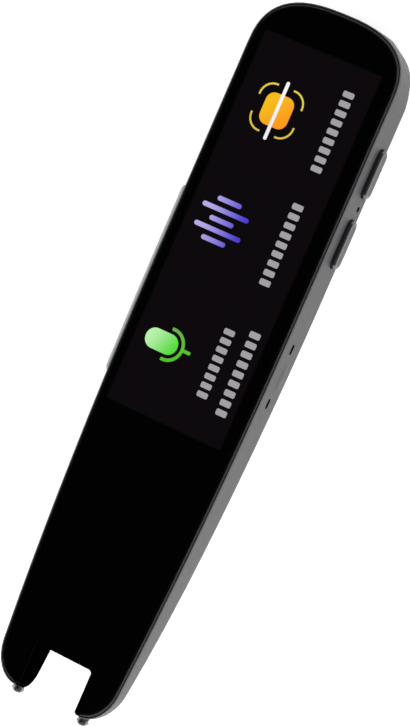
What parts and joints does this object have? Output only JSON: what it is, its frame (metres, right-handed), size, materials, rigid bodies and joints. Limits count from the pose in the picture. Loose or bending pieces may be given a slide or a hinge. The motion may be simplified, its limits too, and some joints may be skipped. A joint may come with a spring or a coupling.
{
  "type": "scanning pen",
  "caption": "Flat handheld scanning pen with a long glass-fronted screen, side keys and a forked tip whose feet press a trigger on the page.",
  "frame": {"origin": "centre of the flat back, midway between the top end and the ends of the feet", "axes": "+Z leaves the glass, +Y points to the round top end, +X points to the wall with the two keys"},
  "size_m": [0.0368, 0.1558, 0.012],
  "materials": {
    "grey_shell": "satin metallic grey paint on moulded plastic",
    "grey_key": "satin grey keys",
    "pale_plastic": "pale satin trim",
    "dark_rim": "dark grey moulded frame",
    "black_glass": "gloss black printed glass",
    "screen": "display panel",
    "white_plastic": "white diffuser plastic",
    "magnesium": "cast light alloy",
    "board": "green glass-fibre circuit board",
    "steel": "plain steel",
    "pouch": "laminated foil pouch",
    "black_plastic": "black moulded plastic",
    "clear_plastic": "clear moulded plastic",
    "lens_glass": "coated lens",
    "ribbon": "amber polyimide ribbon"
  },
  "bodies": {
    "body": {"backlight": "white_plastic", "battery": "pouch", "camera_flex": "ribbon", "camera_housing": "black_plastic", "camera_lens": "lens_glass", "cover_glass": "black_glass", "front_frame": "dark_rim", "home_switch": "black_plastic", "lcd_panel": "screen", "left_lamp": "white_plastic", "left_spring": "steel", "main_board": "board", "microphone": "steel", "mid_frame": "magnesium", "power_switch": "black_plastic", "rear_shell": "grey_shell", "right_lamp": "white_plastic", "right_spring": "steel", "scan_window": "clear_plastic", "screw_low_left": "steel", "screw_low_right": "steel", "screw_top_left": "steel", "screw_top_right": "steel", "sensor_board": "board", "shield_can": "steel", "side_strip": "pale_plastic", "speaker": "black_plastic", "tip_board": "board", "tip_insert": "black_plastic", "trigger_switch": "black_plastic", "usb_c_shell": "steel", "usb_c_tongue": "black_plastic"},
    "power_key": {"power_button": "grey_key"},
    "home_key": {"home_button": "grey_key"},
    "trigger": {"trigger_yoke": "black_plastic", "left_foot": "clear_plastic", "right_foot": "clear_plastic"}
  },
  "joints": [
    {"name": "power_button_press", "type": "slide", "parent": "body", "child": "power_key", "axis": [-1, 0, 0], "range_m": [0, 0.00035], "stiffness_N_per_m": 5000},
    {"name": "home_button_press", "type": "slide", "parent": "body", "child": "home_key", "axis": [-1, 0, 0], "range_m": [0, 0.00035], "stiffness_N_per_m": 5000},
    {"name": "trigger_press", "type": "slide", "parent": "body", "child": "trigger", "axis": [0, 1, 0], "range_m": [0, 0.0006], "stiffness_N_per_m": 1000, "deforming": ["left_spring", "right_spring"]}
  ]
}
